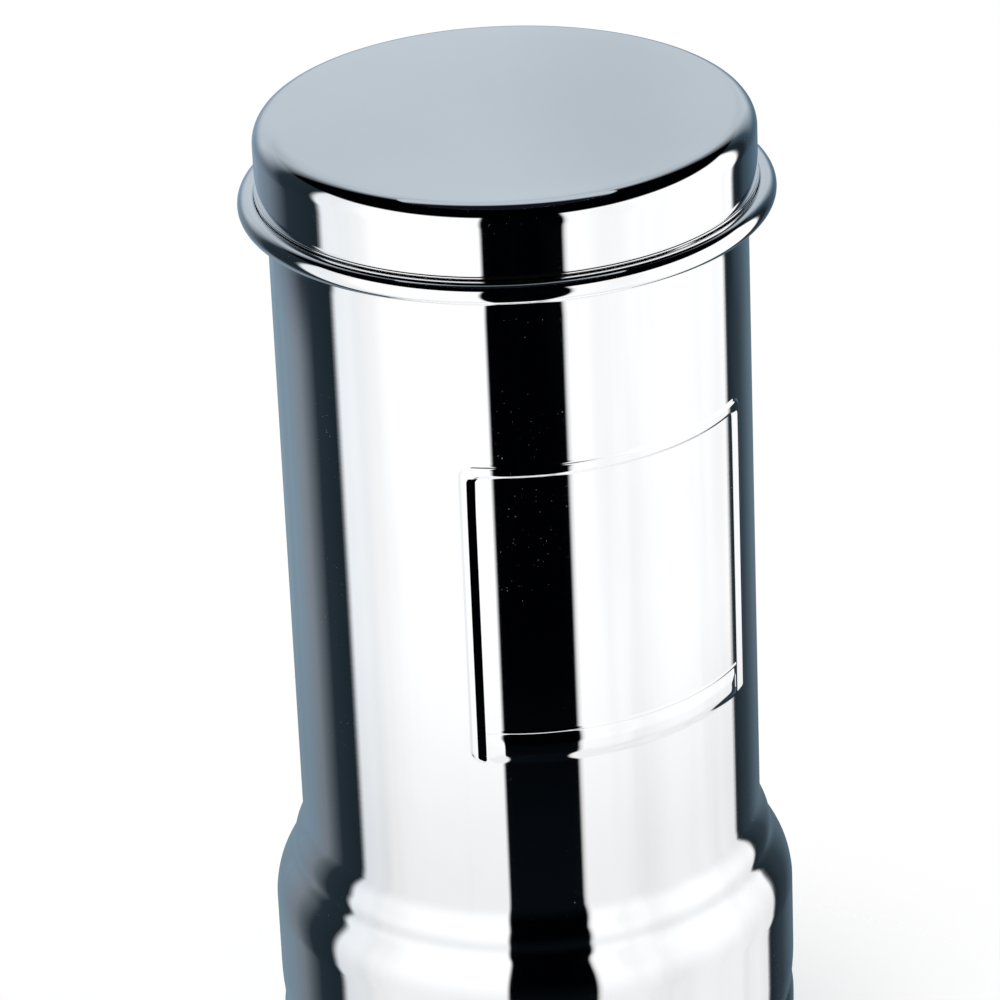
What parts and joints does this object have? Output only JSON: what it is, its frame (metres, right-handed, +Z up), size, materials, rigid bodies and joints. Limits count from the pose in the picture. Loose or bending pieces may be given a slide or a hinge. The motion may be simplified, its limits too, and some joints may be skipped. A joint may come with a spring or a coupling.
{
  "type": "gravity water filter with tap",
  "caption": "Two stacked round polished steel vessels with a lid, ceramic filter candles in the upper one and a self-closing lever tap on the lower one.",
  "frame": {"origin": "middle of the standing disc under the lower vessel, on the table", "axes": "+Z up the axis of both vessels; -Y towards the tap, the front"},
  "size_m": [0.2158, 0.2601, 0.5252],
  "materials": {
    "polished_steel": "mirror polished stainless sheet",
    "tap_chrome": "bright chrome on brass",
    "lever_black": "moulded black plastic",
    "candle_ceramic": "unglazed porous ceramic",
    "cup_plastic": "moulded white plastic",
    "nut_plastic": "moulded white plastic",
    "gasket_rubber": "black silicone rubber",
    "valve_steel": "turned stainless steel"
  },
  "bodies": {
    "lower": {"lower_vessel": "polished_steel", "tap_body": "tap_chrome", "tap_outer_gasket": "gasket_rubber", "tap_inner_gasket": "gasket_rubber", "tap_back_nut": "tap_chrome", "tap_bonnet": "tap_chrome", "return_spring": "valve_steel"},
    "upper": {"upper_vessel": "polished_steel", "upper_floor": "polished_steel", "ceramic_candle_1": "candle_ceramic", "ceramic_candle_2": "candle_ceramic", "ceramic_candle_3": "candle_ceramic", "ceramic_candle_4": "candle_ceramic", "candle_base_1": "cup_plastic", "candle_base_2": "cup_plastic", "candle_base_3": "cup_plastic", "candle_base_4": "cup_plastic", "candle_washer_1": "gasket_rubber", "candle_washer_2": "gasket_rubber", "candle_washer_3": "gasket_rubber", "candle_washer_4": "gasket_rubber", "wing_nut_1": "nut_plastic", "wing_nut_2": "nut_plastic", "wing_nut_3": "nut_plastic", "wing_nut_4": "nut_plastic"},
    "cover": {"lid": "polished_steel"},
    "valve": {"valve_rod": "valve_steel", "valve_seal": "gasket_rubber", "lever_pin": "valve_steel"},
    "lever": {"tap_lever": "lever_black"}
  },
  "joints": [
    {"name": "upper_lift", "type": "slide", "parent": "lower", "child": "upper", "axis": [0, 0, 1], "range_m": [0, 0.12]},
    {"name": "lid_lift", "type": "slide", "parent": "upper", "child": "cover", "axis": [0, 0, 1], "range_m": [0, 0.1]},
    {"name": "valve_lift", "type": "slide", "parent": "lower", "child": "valve", "axis": [0, 0, 1], "range_m": [0, 0.0047], "stiffness_N_per_m": 600, "springref_m": -0.008, "deforming": ["return_spring"]},
    {"name": "lever_tilt", "type": "hinge", "parent": "valve", "child": "lever", "pos_m": [0, -0.1272, 0.084], "axis": [1, 0, 0], "range_deg": [0, 60]}
  ],
  "couplings": [
    {"joint": "lever_tilt", "follows": "valve_lift", "rad_per_m": 222.22}
  ]
}
